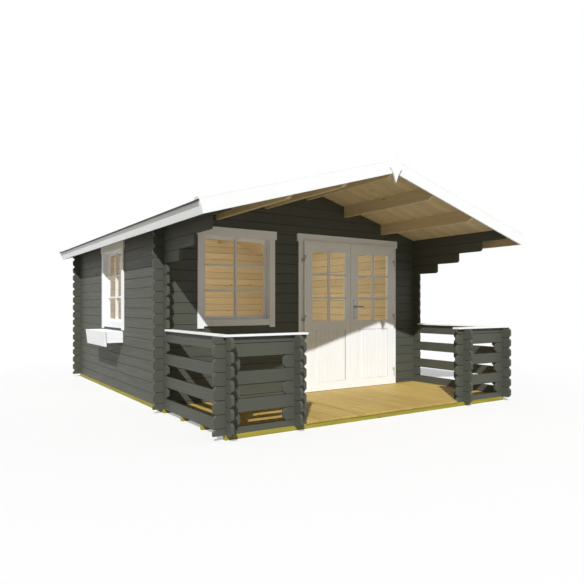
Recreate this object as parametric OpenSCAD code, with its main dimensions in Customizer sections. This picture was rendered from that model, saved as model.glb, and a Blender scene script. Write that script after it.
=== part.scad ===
// Log cabin with a double door, two windows and a covered terrace behind log railings.
// Millimetres. X runs along the front, Y from the front to the back, Z up.

/* [Logs] */
// Height of one course of logs
log_h = 120; // [100:1:145]
// Thickness of a log
log_t = 28; // [23:1:40]
// Courses of logs in a side wall
courses = 17; // [16:1:19]
// How far a log's end runs on past a crossing
log_end = 115; // [60:1:130]
// Bevel on the corners of a log's end
end_bevel = 29; // [10:1:40]
// Depth of the V groove where two logs meet
groove = 4; // [2:0.5:6]

/* [Cabin] */
// Width over the side walls
cabin_w = 3780; // [3700:10:4800]
// Depth over the front and back walls
cabin_d = 3800; // [3000:10:5000]
// Section of the treated beams and joists under the floors
beam = 45; // [40:1:70]
// Thickness of the floor boards
floor_t = 24; // [18:1:32]

/* [Terrace] */
// Depth of the terrace from the front wall to the outside of the front rail
terrace_d = 1474; // [1200:2:2000]
// Distance from one terrace joist to the next
joist_step = 478; // [350:1:560]
// How far the terrace boards reach past the beam under their front edge
deck_nose = 10; // [0:1:20]
// Courses of logs in the railing
rail_courses = 7; // [5:2:9]
// Length of a front rail from the cabin's corner to its gate post
rail_l = 731; // [500:1:900]
// Width of the boards that cap the railing
cap_w = 90; // [60:1:120]
// Thickness of the boards that cap the railing
cap_t = 18; // [12:1:28]
// How far the lowest stepped log reaches out from the front wall
corbel_first = 440; // [200:5:500]
// How much further each stepped log above it reaches
corbel_step = 367; // [200:1:380]
// Courses of logs that step out, up to the wall's last full course
corbel_rows = 4; // [3:1:4]
// Bevel under the tip of a stepped log
corbel_bevel = 22; // [10:1:50]

/* [Roof] */
// Slope of the roof in degrees
roof_pitch = 16; // [12:0.5:22]
// Thickness of the roof boards
roof_t = 18; // [16:1:22]
// Thickness of the roofing felt
felt_t = 4; // [2:0.5:8]
// Roof beyond the front rail, to the outside of the bargeboard
front_overhang = 88; // [60:1:300]
// Roof beyond the back wall, to the outside of the bargeboard
back_overhang = 150; // [150:1:300]
// Roof beyond a side wall's middle, down the slope
eave_overhang = 298; // [150:1:400]
// Height of the bargeboards and eave boards, square to the slope
verge_h = 120; // [90:1:145]
// Thickness of the bargeboards and eave boards
verge_t = 18; // [12:1:22]
// Height of the strip that lies on the roof's edge above a bargeboard
strip_h = 24; // [15:1:40]
// Depth of that strip from front to back
strip_d = 90; // [25:1:120]
// How far the felt and the strips reach past the eave boards
drip = 8; // [4:1:20]
// Width of a purlin
purlin_w = 45; // [35:1:60]
// Height of a purlin
purlin_h = 140; // [100:1:160]
// Length of the bevel under a purlin's front end
purlin_bevel = 80; // [40:1:120]
// Distance of the inner purlins from the ridge
purlin_in = 607; // [500:1:700]
// Distance of the outer purlins from the ridge
purlin_out = 1252; // [1100:1:1400]
// Width of the diamond at each end of the ridge
finial_w = 168; // [120:1:240]
// Height of that diamond above its widest part
finial_up = 176; // [120:1:220]
// Height of that diamond below its widest part
finial_down = 152; // [120:1:200]
// Thickness of that diamond
finial_t = 20; // [12:1:28]

/* [Windows] */
// Courses of logs that a window opening takes up
window_rows = 9; // [8:1:9]
// Width of a window opening
window_w = 944; // [780:2:1060]
// Gap over a window's frame, for the logs to settle
settle = 23; // [0:1:40]
// Front window's centre from the outside of the left wall
front_window_x = 894; // [860:2:960]
// Side window's centre from the front wall
side_window_y = 1900; // [1300:10:2100]
// Width of the boards round a window
trim_w = 76; // [60:1:100]
// Thickness of the boards round a window or a door
trim_t = 20; // [12:1:24]
// How far the upright boards reach in over the sides of a window opening
trim_lap = 45; // [20:1:50]
// How far the boards under and over a window reach in over the opening
sill_lap = 53; // [30:1:60]
// How far the upright boards reach down past the opening
trim_foot = 47; // [30:1:60]
// Height of the board over a window or a door
head_w = 98; // [50:1:110]
// How far that board runs past the upright ones
head_lap = 22; // [0:1:30]
// How much thicker it is than the others
head_proud = 6; // [0:1:10]
// Depth of a window or door frame
frame_d = 75; // [64:1:90]
// Width of a window frame's sides
frame_w = 52; // [40:1:60]
// Width of a sash's sides
sash_w = 34; // [30:1:60]
// Thickness of a sash
sash_t = 24; // [18:1:36]
// Sash's face behind the outside of the wall
sash_in = 48; // [30:1:50]
// Thickness of the glass
glass_t = 4; // [3:0.5:8]

/* [Window box] */
// Length of the window box at the top of its front board
box_l = 950; // [850:10:1200]
// Height of its front board
box_h = 194; // [150:1:240]
// Reach of the box from the wall
box_d = 248; // [160:1:260]
// Thickness of its boards
box_t = 18; // [12:1:22]
// How much its front board narrows at each end towards the bottom
box_taper = 12; // [0:1:50]
// How far its front board leans out, from the bottom to the top
box_lean = 22; // [0:1:40]
// How far its front board reaches down past the rest
box_lip = 46; // [10:1:60]
// Distance from the boards round the window down to the box
box_below = 13; // [10:1:60]

/* [Door] */
// Width of the two leaves together, with the gap between them
door_w = 1510; // [1250:2:1560]
// Door's centre from the outside of the right wall
door_x = 1216; // [1180:2:1240]
// How far left of the door's centre the leaves meet
meet_off = 20; // [0:1:30]
// Thickness of a leaf
leaf_t = 40; // [34:1:46]
// Thickness of a leaf's lip, which lies in front of the boards round the door
lip_t = 20; // [14:1:22]
// How far that lip laps over those boards
lip_lap = 12; // [8:1:20]
// Gap round a leaf
leaf_gap = 5; // [5:0.5:8]
// Thickness of the frame over the leaves
door_head_t = 66; // [28:1:80]
// Thickness of the frame beside the leaves
door_side_t = 41; // [30:1:60]
// Thickness of the threshold
threshold_t = 9; // [6:1:14]
// How far the frame laps behind the leaves
door_stop = 20; // [12:1:24]
// Width of the upright boards beside the door
door_trim_w = 77; // [60:1:90]
// Width of a leaf's upright board at its hinges
stile_w = 118; // [90:1:140]
// Distance of a leaf's glass from the door's centre
glass_off = 106; // [90:1:130]
// Height of a leaf's bottom rail
foot_rail_h = 109; // [70:1:140]
// Height of the boarded panel at the foot of a leaf
panel_h = 657; // [500:1:750]
// Height of the rail between the panel and the glass
mid_rail_h = 119; // [90:1:150]
// Height of a leaf's top rail
top_rail_h = 128; // [100:1:160]
// How far the panel lies behind the leaf's faces
panel_in = 8; // [4:1:12]
// Radius of a hinge's knuckle
knuckle_r = 6.5; // [5.5:0.5:7]
// Height of a hinge
hinge_h = 80; // [60:2:100]
// Radius of a hinge's pin
pin_r = 4; // [3:0.25:4.5]
// Height of the door handle's plate
plate_h = 240; // [200:2:260]
// Width of that plate
plate_w = 46; // [36:1:50]
// Bottom of that plate above the bottom of the leaf
handle_z = 915; // [850:5:1000]
// Distance of the handle from the meeting edge of its leaf
handle_x = 66; // [50:1:75]
// Length of the door handle's lever
lever_l = 125; // [100:1:140]

/* [Hidden] */

$fn = 48;
eps = 1; // overshoot of a cut
seam = 1; // open joint between like boards that meet end to end
roof_fit = 0.3; // clearance of sloping faces that lie on each other
log_paint = [0.27, 0.28, 0.24];
white_paint = [0.95, 0.95, 0.93];
bare_pine = [0.76, 0.62, 0.42];
deck_pine = [0.77, 0.63, 0.34];
treated_pine = [0.66, 0.62, 0.24];
steel = [0.6, 0.6, 0.6];
pane = [0.8, 0.85, 0.85, 0.5];

half_w = cabin_w / 2; // outside of a side wall from the cabin's centre line
wall_h = courses * log_h; // top of a side wall at the middle of its thickness
first_corbel = courses - corbel_rows; // lowest course that steps out
rail_h = rail_courses * log_h;
rail_y = -terrace_d; // outside of the front rail, from the outside of the front wall
logs_front = rail_y - log_end; // tips of the logs at the terrace's front corners
roof_front = rail_y - front_overhang; // outside of the front bargeboards
roof_back = cabin_d + back_overhang; // outside of the back bargeboards
boards_front = roof_front + verge_t;
boards_back = roof_back - verge_t;
gate_x = -half_w + rail_l - log_t; // left gate post
half_row = log_h / 2; // the front and back walls start with half a log
door_top = wall_h - half_row; // top of the doorway and of the front window's opening
window_h = window_rows * log_h;
unit_h = window_h - settle; // height of a window with the clearance round it
front_window_z = door_top - window_h;
side_window_z = wall_h - log_h - window_h;
neck = log_h / 4; // a log keeps its middle half where it crosses another

// Roof: s runs down the slope from the ridge, n stands square to it from the underside of the boards
ridge_z = wall_h + (half_w - log_t / 2) * tan(roof_pitch);
eave_s = (half_w - log_t / 2) / cos(roof_pitch) + eave_overhang;
felt_top = roof_t + felt_t;

// Places from front to back: the cabin's own zero is the outside of its front wall
first_y = min(logs_front, roof_front - finial_t);
last_y = roof_back + finial_t;
front_y = -(first_y + last_y) / 2;

// Door, from the bottom of the logs up and from its own centre out
door_cx = half_w - door_x;
frame_clear = 3; // between a frame and the logs
leaf_z = floor_t + leaf_gap;
frame_top = door_top - frame_clear;
head_z = frame_top - door_head_t; // underside of the board over the door
leaf_h = head_z + lip_lap - leaf_z;
lip_y = -trim_t - head_proud - leaf_gap; // back of the lips
leaf_y = lip_y - lip_t; // faces of the leaves
frame_in = door_w / 2 - lip_lap;
frame_out = frame_in + door_side_t;
door_open = frame_out + frame_clear;
glass_z = foot_rail_h + panel_h + mid_rail_h; // bottom of a leaf's glass
glass_w = door_w / 2 - stile_w - glass_off;
glass_h = leaf_h - glass_z - top_rail_h;
plate_t = 4;
lever_rise = 0.64; // place of the lever as a share of its plate's height
lever_r = 9;
lever_t = 12;
lever_out = 42; // a leaf's face to the back of the lever

// Hinges: the pin stands in front of a leaf's face and just beside its lip
pin_off = 1.5; // between a knuckle and that face
pin_x = (door_w + leaf_gap) / 2;
pin_y = leaf_y - knuckle_r - pin_off;
pin_clear = 0.1; // round a pin in its bore
knuckle_gap = 0.3; // between the two halves of a hinge
pin_up = 32; // how far a pin reaches into the upper half
hinge_plate_w = 26;
hinge_plate_t = 2.5;
hinge_rows = [0.0985, 0.489, 0.882]; // hinges' middles as shares of a leaf's height

// Windows: the sash's glass starts this far in from the edge of the opening
glass_in = frame_clear + frame_w + sash_w;
box_end_in = 10; // window box's ends stand in from the foot of its front board
box_end = box_l / 2 - box_taper - box_end_in; // outside of those ends from the box's middle

// The diamonds at the ends of the ridge
finial_drop = 58; // from the underside of the roof's ridge to their widest part
finial_mid = ridge_z - finial_drop;
finial_curve = 0.36; // how far their sides are drawn in: 0.5 is straight
finial_steps = 6;
floor_bays = 3; // spaces between the joists under the cabin floor

// ---- Helpers ----

// Cabin coordinates: Y from the outside of the front wall, Z from the bottom of the lowest logs
module cabin() { translate([0, front_y, beam]) children(); }

// Stands a shape drawn in X and Z upright, from y to t further back
module upright(y, t) { translate([0, y + t, 0]) rotate([90, 0, 0]) linear_extrude(t) children(); }

// Stands a shape drawn in Y and Z upright, from x to t further right
module sideways(x, t) { translate([x, 0, 0]) rotate([90, 0, 90]) linear_extrude(t) children(); }

module both_sides() { children(); mirror([1, 0, 0]) children(); }

// Copies the front end of the roof to its back end
module both_ends() {
    children();
    translate([0, roof_front + roof_back, 0]) mirror([0, 1, 0]) children();
}

// Side view of one log from u0 to u1, its bottom at z, with bevels b0 and b1 at its ends
module log_face(u0, u1, z, b0 = end_bevel, b1 = end_bevel) {
    polygon([
        [u0 + b0, z], [u1 - b1, z], [u1, z + b1], [u1, z + log_h - b1],
        [u1 - b1, z + log_h], [u0 + b0, z + log_h], [u0, z + log_h - b0], [u0, z + b0]
    ]);
}

// A short log that crosses another one at u, its ends run on past it
module stub_face(u, z) { log_face(u - log_end, u + log_t + log_end, z); }

// Slots at u that take the necks of the crossing logs, one at each joint from z = first to top
module slots(u, first, top) {
    for (z = [first : log_h : top]) translate([u, z - neck]) square([log_t, 2 * neck]);
}

// Section of a stack of logs from u to u + log_t, with V grooves at its joints
module grooved(u, first, top) {
    difference() {
        translate([u, 0]) square([log_t, top]);
        for (z = [first : log_h : top], side = [0, log_t])
            translate([u + side, z]) rotate(45) square(groove * sqrt(2), center = true);
    }
}

// Logs along X from a side view in X and Z: outside or inside face at y
module x_logs(y, top) {
    intersection() {
        upright(y, log_t) children();
        sideways(-cabin_w, 2 * cabin_w) grooved(y, half_row, top);
    }
}

// Logs along Y from a side view in Y and Z: the wall or rail on the left, under the roof's slope
module y_logs(x, top) {
    intersection() {
        sideways(x, log_t) children();
        upright(2 * first_y, 2 * (last_y - first_y)) intersection() {
            grooved(x, log_h, top);
            under_roof();
        }
    }
}

// Section of the roof's right side, between heights n0 and n1 and down to s1
function slope_point(s, n) = [
    s * cos(roof_pitch) + n * sin(roof_pitch), ridge_z - s * sin(roof_pitch) + n * cos(roof_pitch)
];
function over_ridge(n, x) = [x, ridge_z - abs(x) * tan(roof_pitch) + n / cos(roof_pitch)];
module roof_section(n0, n1, s1, x0 = 0) {
    polygon([over_ridge(n0, x0), slope_point(s1, n0), slope_point(s1, n1), over_ridge(n1, x0)]);
}

// Everything under the roof's boards, in X and Z
module under_roof() {
    polygon([[-cabin_w, 0], for (x = [-cabin_w, 0, cabin_w]) over_ridge(-roof_fit, x), [cabin_w, 0]]);
}

// A window's or door's own place: X along the wall, Y into the cabin, Z up from z
module on_front(x, z) { translate([x, 0, z]) children(); }
module on_left(y, z) { translate([-half_w, y, z]) rotate([0, 0, -90]) children(); }

// Upright frame in X and Z with an opening w wide, from z0 to z1, and sides this wide
module ring(w, z0, z1, side) {
    difference() {
        translate([-w / 2 - side, z0 - side]) square([w + 2 * side, z1 - z0 + 2 * side]);
        translate([-w / 2, z0]) square([w, z1 - z0]);
    }
}

// ---- Base ----

module side_beams() {
    color(treated_pine) cabin() both_sides() translate([-half_w, log_t, -beam])
        cube([beam, cabin_d - log_t - beam, beam]);
}

module floor_joists() {
    step = (cabin_d - log_t) / floor_bays;
    module joist(x, y) { translate([-x, y, -beam]) cube([2 * x, beam, beam]); }
    color(treated_pine) cabin() {
        for (y = [rail_y : joist_step : -joist_step / 2]) joist(half_w, y);
        joist(half_w, log_t - beam);
        for (i = [1 : floor_bays - 1]) joist(half_w - beam, log_t - beam + i * step);
        joist(half_w, cabin_d - beam);
    }
}

module cabin_floor() {
    color(bare_pine) cabin() linear_extrude(floor_t) {
        translate([-half_w + log_t, log_t]) square([cabin_w - 2 * log_t, cabin_d - 2 * log_t]);
        translate([door_cx - door_open, 0]) square([2 * door_open, 2 * log_t]);
    }
}

module terrace_floor() {
    color(deck_pine) cabin() linear_extrude(floor_t) difference() {
        translate([-half_w + log_t, rail_y - deck_nose])
            square([cabin_w - 2 * log_t, terrace_d + deck_nose]);
        both_sides() {
            translate([-half_w, rail_y - deck_nose - eps])
                square([rail_l + log_end, log_t + deck_nose + eps]);
            translate([gate_x, rail_y]) square([log_t, log_t + log_end]);
        }
    }
}

// ---- Log walls ----

function runs_on(n) = n >= first_corbel || (n < rail_courses && n % 2 == 0);

// A side wall on the left. Logs that run on as rails or stepped logs stop at the front wall.
module side_wall(window) {
    y_logs(-half_w, wall_h + log_h) difference() {
        for (n = [0 : courses])
            log_face(
                runs_on(n) ? 0 : -log_end, cabin_d + log_end, n * log_h,
                runs_on(n) ? 0 : end_bevel, end_bevel
            );
        slots(0, 0, wall_h);
        slots(cabin_d - log_t, 0, wall_h);
        if (window)
            translate([side_window_y - window_w / 2, side_window_z])
                square([window_w, window_h]);
    }
}

module left_wall() { color(log_paint) cabin() side_wall(true); }
module right_wall() { color(log_paint) cabin() mirror([1, 0, 0]) side_wall(false); }

// Side view of a whole front or back wall with its gable
module end_wall_face() {
    difference() {
        intersection() {
            for (z = [-half_row : log_h : ridge_z])
                log_face(-half_w - log_end, half_w + log_end, z);
            under_roof();
        }
        both_sides() slots(-half_w, half_row, wall_h);
        purlin_slots();
    }
}

module back_wall() {
    color(log_paint) cabin() x_logs(cabin_d - log_t, ridge_z) end_wall_face();
}

// The stretch of the front wall from x0 to x1 and z0 to z1
module front_stretch(x0, x1, z0, z1) {
    intersection() {
        end_wall_face();
        translate([x0, z0]) square([x1 - x0, z1 - z0]);
    }
}

module front_wall_left() {
    color(log_paint) cabin() x_logs(0, ridge_z) difference() {
        front_stretch(-cabin_w, door_cx - door_open, 0, door_top);
        translate([-half_w + front_window_x - window_w / 2, front_window_z])
            square([window_w, window_h]);
    }
}

module front_wall_right() {
    color(log_paint) cabin() x_logs(0, ridge_z)
        front_stretch(door_cx + door_open, cabin_w, 0, door_top);
}

module front_gable() {
    color(log_paint) cabin() x_logs(0, ridge_z)
        front_stretch(-cabin_w, cabin_w, door_top, ridge_z);
}

// Logs of a side wall that step out under the roof over the terrace
module corbels() {
    y_logs(-half_w, wall_h + log_h) for (i = [0 : corbel_rows])
        let (tip = -corbel_first - min(i, corbel_rows - 1) * corbel_step, z = (first_corbel + i) * log_h)
            polygon([[0, z], [0, z + log_h], [tip, z + log_h], [tip, z + corbel_bevel],
                [tip + corbel_bevel, z]]);
}

module left_corbels() { color(log_paint) cabin() corbels(); }
module right_corbels() { color(log_paint) cabin() mirror([1, 0, 0]) corbels(); }

// ---- Railing ----

// Every other course runs from the front wall to the corner, with short logs between them there
module side_rail() {
    y_logs(-half_w, rail_h) difference() {
        for (n = [0 : rail_courses - 1])
            if (n % 2 == 0) log_face(logs_front, 0, n * log_h, end_bevel, 0);
            else stub_face(rail_y, n * log_h);
        slots(rail_y, 0, rail_h);
    }
}

// Front rail on the left with its gate post of short crossing logs
module front_rail() {
    x_logs(rail_y, rail_h) intersection() {
        difference() {
            for (n = [0 : rail_courses])
                let (z = n * log_h - half_row) {
                    if (n % 2 == 0 || n == rail_courses)
                        log_face(-half_w - log_end, gate_x + log_t + log_end, z);
                    stub_face(-half_w, z);
                    stub_face(gate_x, z);
                }
            slots(-half_w, half_row, rail_h);
        }
        translate([-cabin_w, 0]) square([cabin_w, rail_h]);
    }
    y_logs(gate_x, rail_h) for (n = [0 : rail_courses - 1]) stub_face(rail_y, n * log_h);
}

module left_side_rail() { color(log_paint) cabin() side_rail(); }
module right_side_rail() { color(log_paint) cabin() mirror([1, 0, 0]) side_rail(); }
module left_front_rail() { color(log_paint) cabin() front_rail(); }
module right_front_rail() { color(log_paint) cabin() mirror([1, 0, 0]) front_rail(); }

// The caps lie over the middle of the rails and meet in a mitre
cap_out = (cap_w - log_t) / 2;
cap_corner = [-half_w - cap_out, rail_y - cap_out];

module side_rail_caps() {
    color(white_paint) cabin() both_sides() translate([0, 0, rail_h]) linear_extrude(cap_t)
        polygon([cap_corner, [cap_corner[0], -log_end], [cap_corner[0] + cap_w, -log_end],
            cap_corner + [cap_w, cap_w]]);
}

module front_rail_caps() {
    color(white_paint) cabin() both_sides() translate([0, 0, rail_h]) linear_extrude(cap_t)
        polygon([cap_corner, [gate_x + log_t + log_end, cap_corner[1]],
            [gate_x + log_t + log_end, cap_corner[1] + cap_w], cap_corner + [cap_w, cap_w]]);
}

// ---- Roof ----

purlin_rows = [-purlin_out, -purlin_in, 0, purlin_in, purlin_out];

// Bottom of the purlin at x, whose height is measured at its side nearest the ridge
function purlin_low(x) = over_ridge(0, max(0, abs(x) - purlin_w / 2))[1] - purlin_h;

// Slots for the purlins in the gables, open at the top
module purlin_slots() {
    for (x = purlin_rows) translate([x - purlin_w / 2, purlin_low(x)]) square([purlin_w, 2 * purlin_h]);
}

// The purlins' tops follow the roof, and their front ends are bevelled below
module purlins() {
    tip = boards_front - eps;
    color(bare_pine) cabin() difference() {
        upright(boards_front, boards_back - boards_front) intersection() {
            purlin_slots();
            under_roof();
        }
        for (x = purlin_rows) let (low = purlin_low(x)) sideways(x - purlin_w, 2 * purlin_w)
            polygon([[tip, low - eps], [boards_front + purlin_bevel, low - eps],
                [boards_front + purlin_bevel, low], [boards_front, low + purlin_bevel / 2],
                [tip, low + purlin_bevel / 2]]);
    }
}

module roof_boards() {
    upright(boards_front, boards_back - boards_front) roof_section(0, roof_t, eave_s - verge_t - roof_fit);
}
module roof_boards_right() { color(bare_pine) cabin() roof_boards(); }
module roof_boards_left() { color(bare_pine) cabin() mirror([1, 0, 0]) roof_boards(); }

module roof_felt() {
    function across(p) = [-p[0], p[1]];
    under = roof_t + roof_fit;
    low = slope_point(eave_s + drip, under);
    high = slope_point(eave_s + drip, felt_top);
    color([0.2, 0.2, 0.2]) cabin() upright(boards_front, boards_back - boards_front)
        polygon([over_ridge(under, 0), low, high, over_ridge(felt_top, 0), across(high), across(low)]);
}

module eave_boards() {
    color(white_paint) cabin() both_sides() upright(boards_front, boards_back - boards_front)
        polygon([for (p = [[0, 0], [1, 0], [1, 1], [0, 1]])
            slope_point(eave_s - verge_t * p[0], roof_t - roof_fit - verge_h * p[1])]);
}

module bargeboards() {
    color(white_paint) cabin() both_ends() both_sides() upright(roof_front, verge_t)
        roof_section(roof_t - verge_h, felt_top, eave_s, seam / 2);
}

module verge_strips() {
    color(white_paint) cabin() both_ends() both_sides() upright(roof_front, strip_d)
        roof_section(felt_top + roof_fit, felt_top + strip_h, eave_s + drip, seam / 2);
}

// A diamond with hollow sides, each a curve between two of its points
function curve(a, b) = [
    for (i = [0 : finial_steps - 1]) let (t = i / finial_steps, mid = (a + b) * finial_curve)
        a * pow(1 - t, 2) + mid * 2 * t * (1 - t) + b * pow(t, 2)
];

module finials() {
    tips = [[finial_w / 2, 0], [0, finial_up], [-finial_w / 2, 0], [0, -finial_down]];
    color(white_paint) cabin() both_ends() upright(roof_front - finial_t, finial_t)
        translate([0, finial_mid])
            polygon([for (i = [0 : 3]) each curve(tips[i], tips[(i + 1) % 4])]);
}

// ---- Windows ----

// The board over a window or a door, from half_l each side of its middle
module head_board(half_l, z, h) {
    upright(-trim_t - head_proud, trim_t + head_proud) translate([-half_l - head_lap, z])
        square([2 * (half_l + head_lap), h]);
}

// Boards round a window outside, and a plain ring of them round its frame inside
module window_trim() {
    inner = window_w / 2 - trim_lap;
    outer = inner + trim_w;
    top = unit_h - sill_lap;
    upright(-trim_t, trim_t) difference() {
        translate([-outer, -trim_foot]) square([2 * outer, top + trim_foot]);
        translate([-inner, sill_lap]) square([2 * inner, window_h]);
        translate([-inner, sill_lap - trim_w - window_h]) square([2 * inner, window_h]);
    }
    head_board(outer, top, head_w);
    upright(log_t, trim_t)
        ring(window_w - 2 * frame_clear, frame_clear, unit_h - frame_clear, trim_w);
}

module window_frame() {
    in = frame_clear + frame_w;
    upright(0, frame_d) ring(window_w - 2 * in, in, unit_h - in, frame_w);
}

module window_sash() {
    upright(sash_in, sash_t) ring(window_w - 2 * glass_in, glass_in, unit_h - glass_in, sash_w);
}

module window_glass() {
    upright(sash_in + (sash_t - glass_t) / 2, glass_t) translate([glass_in - window_w / 2, glass_in])
        square([window_w - 2 * glass_in, unit_h - 2 * glass_in]);
}

module at_front_window() {
    cabin() on_front(-half_w + front_window_x, front_window_z) children();
}
module at_side_window() { cabin() on_left(side_window_y, side_window_z) children(); }

module front_window_trim() { color(white_paint) at_front_window() window_trim(); }
module front_window_frame() { color(white_paint) at_front_window() window_frame(); }
module front_window_sash() { color(white_paint) at_front_window() window_sash(); }
module front_window_glass() { color(pane) at_front_window() window_glass(); }
module side_window_trim() { color(white_paint) at_side_window() window_trim(); }
module side_window_frame() { color(white_paint) at_side_window() window_frame(); }
module side_window_sash() { color(white_paint) at_side_window() window_sash(); }
module side_window_glass() { color(pane) at_side_window() window_glass(); }

// An open box on the wall under the side window, measured from the top of its front board.
// The front board leans out and is the widest.
module window_box() {
    lean = atan(box_lean / box_h);
    low = box_lip - box_h;
    function middle(z) = -box_d + box_t / 2 / cos(lean) - z * tan(lean);
    color(white_paint) at_side_window() translate([0, 0, -box_below - trim_foot]) {
        translate([0, -box_d, 0]) rotate([lean, 0, 0]) upright(0, box_t)
            polygon([[-box_l / 2, 0], [box_l / 2, 0], [box_l / 2 - box_taper, -box_h],
                [-box_l / 2 + box_taper, -box_h]]);
        difference() {
            sideways(-box_end, 2 * box_end)
                polygon([[middle(0), 0], [0, 0], [0, low], [middle(low), low]]);
            translate([-box_end + box_t, -2 * box_d, low + box_t])
                cube([2 * (box_end - box_t), 2 * box_d - box_t, box_h]);
        }
    }
}

// ---- Door ----

module at_door() { cabin() on_front(door_cx, 0) children(); }

// Boards beside and over the door outside, and round its frame inside, from the floor up
module door_trim() {
    module beside(inner, w, top) {
        for (x = [-inner - w, inner]) translate([x, floor_t]) square([w, top - floor_t]);
    }
    color(white_paint) at_door() {
        upright(-trim_t, trim_t) beside(frame_in, door_trim_w, head_z);
        head_board(frame_in + door_trim_w, head_z, head_w);
        upright(log_t, trim_t) {
            beside(frame_out, door_trim_w, frame_top);
            translate([-frame_out - door_trim_w, frame_top])
                square([2 * (frame_out + door_trim_w), door_trim_w]);
        }
    }
}

// Sides, head and threshold. They reach in past the boards outside as a stop behind the leaves.
module door_frame() {
    low = floor_t + threshold_t;
    through = frame_in - door_stop;
    color(white_paint) at_door() upright(0, frame_d) difference() {
        translate([-frame_out, floor_t]) square([2 * frame_out, frame_top - floor_t]);
        translate([-through, low]) square([2 * through, head_z - door_stop - low]);
    }
}

// A leaf with its hinges at its left edge, up to x1 where it meets the other one.
// Its lip laps over the boards beside and over the door.
module leaf(x1) {
    x = -door_w / 2;
    inset = lip_lap + leaf_gap;
    difference() {
        union() {
            translate([x, leaf_y, leaf_z]) cube([x1 - x, lip_t, leaf_h]);
            translate([x + inset, leaf_y, leaf_z]) cube([x1 - x - inset, leaf_t, leaf_h - inset]);
        }
        upright(leaf_y - eps, leaf_t + 2 * eps)
            translate([x + stile_w, leaf_z + glass_z]) square([glass_w, glass_h]);
        for (y = [leaf_y - leaf_t + panel_in, leaf_y + leaf_t - panel_in])
            upright(y, leaf_t)
                translate([x + stile_w, leaf_z + foot_rail_h]) square([glass_w, panel_h]);
    }
}

module leaf_glass() {
    upright(leaf_y + (leaf_t - glass_t) / 2, glass_t)
        translate([-door_w / 2 + stile_w, leaf_z + glass_z]) square([glass_w, glass_h]);
}

// Lower halves of the hinges, with the pins. Their plates lie on the boards beside the door
// and turn out past the leaf's lip to the knuckles.
module hinge_frame_halves() {
    half_h = (hinge_h - knuckle_gap) / 2;
    for (row = hinge_rows) translate([-pin_x, pin_y, leaf_z + row * leaf_h - hinge_h / 2]) {
        cylinder(h = half_h, r = knuckle_r);
        cylinder(h = hinge_h / 2 + pin_up, r = pin_r);
        translate([-hinge_plate_t, 0, 0]) cube([hinge_plate_t, -trim_t - pin_y, half_h]);
        translate([-hinge_plate_w, -trim_t - pin_y - hinge_plate_t, 0])
            cube([hinge_plate_w, hinge_plate_t, half_h]);
    }
}

// Upper halves of the hinges on a leaf, bored for the pins
module hinge_leaf_halves() {
    for (row = hinge_rows) translate([-pin_x, pin_y, leaf_z + row * leaf_h + knuckle_gap / 2])
        difference() {
            union() {
                cylinder(h = (hinge_h - knuckle_gap) / 2, r = knuckle_r);
                translate([0, leaf_y - pin_y - hinge_plate_t, 0])
                    cube([hinge_plate_w, hinge_plate_t, (hinge_h - knuckle_gap) / 2]);
            }
            translate([0, 0, -eps]) cylinder(h = pin_up + 2 * eps, r = pin_r + pin_clear);
        }
}

// Plate and lever on the right leaf, outside and inside
module door_handle() {
    lever_z = leaf_z + handle_z + lever_rise * plate_h;
    module side_of_leaf() {
        translate([-plate_w / 2, -plate_t, leaf_z + handle_z]) cube([plate_w, plate_t, plate_h]);
        translate([0, 0, lever_z]) rotate([90, 0, 0]) cylinder(h = lever_out, r = lever_r);
        translate([-lever_r, -lever_out - lever_t, lever_z - lever_r])
            cube([lever_l + lever_r, lever_t, 2 * lever_r]);
    }
    color(steel) at_door() translate([leaf_gap / 2 - meet_off + handle_x, 0, 0]) {
        translate([0, leaf_y, 0]) side_of_leaf();
        translate([0, leaf_y + leaf_t, 0]) mirror([0, 1, 0]) side_of_leaf();
    }
}

module frame_hinges() { color(white_paint) at_door() both_sides() hinge_frame_halves(); }
module left_door_leaf() { color(white_paint) at_door() leaf(-meet_off - leaf_gap / 2); }
module left_door_glass() { color(pane) at_door() leaf_glass(); }
module left_leaf_hinges() { color(white_paint) at_door() hinge_leaf_halves(); }
module right_door_leaf() { color(white_paint) at_door() mirror([1, 0, 0]) leaf(meet_off - leaf_gap / 2); }
module right_door_glass() { color(pane) at_door() mirror([1, 0, 0]) leaf_glass(); }
module right_leaf_hinges() { color(white_paint) at_door() mirror([1, 0, 0]) hinge_leaf_halves(); }

side_beams();
floor_joists();
cabin_floor();
terrace_floor();
left_wall();
right_wall();
back_wall();
front_wall_left();
front_wall_right();
front_gable();
left_corbels();
right_corbels();
left_side_rail();
right_side_rail();
left_front_rail();
right_front_rail();
side_rail_caps();
front_rail_caps();
purlins();
roof_boards_left();
roof_boards_right();
roof_felt();
eave_boards();
bargeboards();
verge_strips();
finials();
front_window_trim();
front_window_frame();
front_window_sash();
front_window_glass();
side_window_trim();
side_window_frame();
side_window_sash();
side_window_glass();
window_box();
door_trim();
door_frame();
frame_hinges();
left_door_leaf();
left_door_glass();
left_leaf_hinges();
right_door_leaf();
right_door_glass();
right_leaf_hinges();
door_handle();
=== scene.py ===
"""Looks of a log cabin with a double door, two windows and a covered terrace.

Every size is in metres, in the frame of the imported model: X to the right, Y to the back, Z up.
"""

import logging
import math
import random
from dataclasses import dataclass, field
from enum import Enum
from typing import Callable, Iterable, Sequence

import bmesh
import bpy
from mathutils import Matrix, Vector


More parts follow.
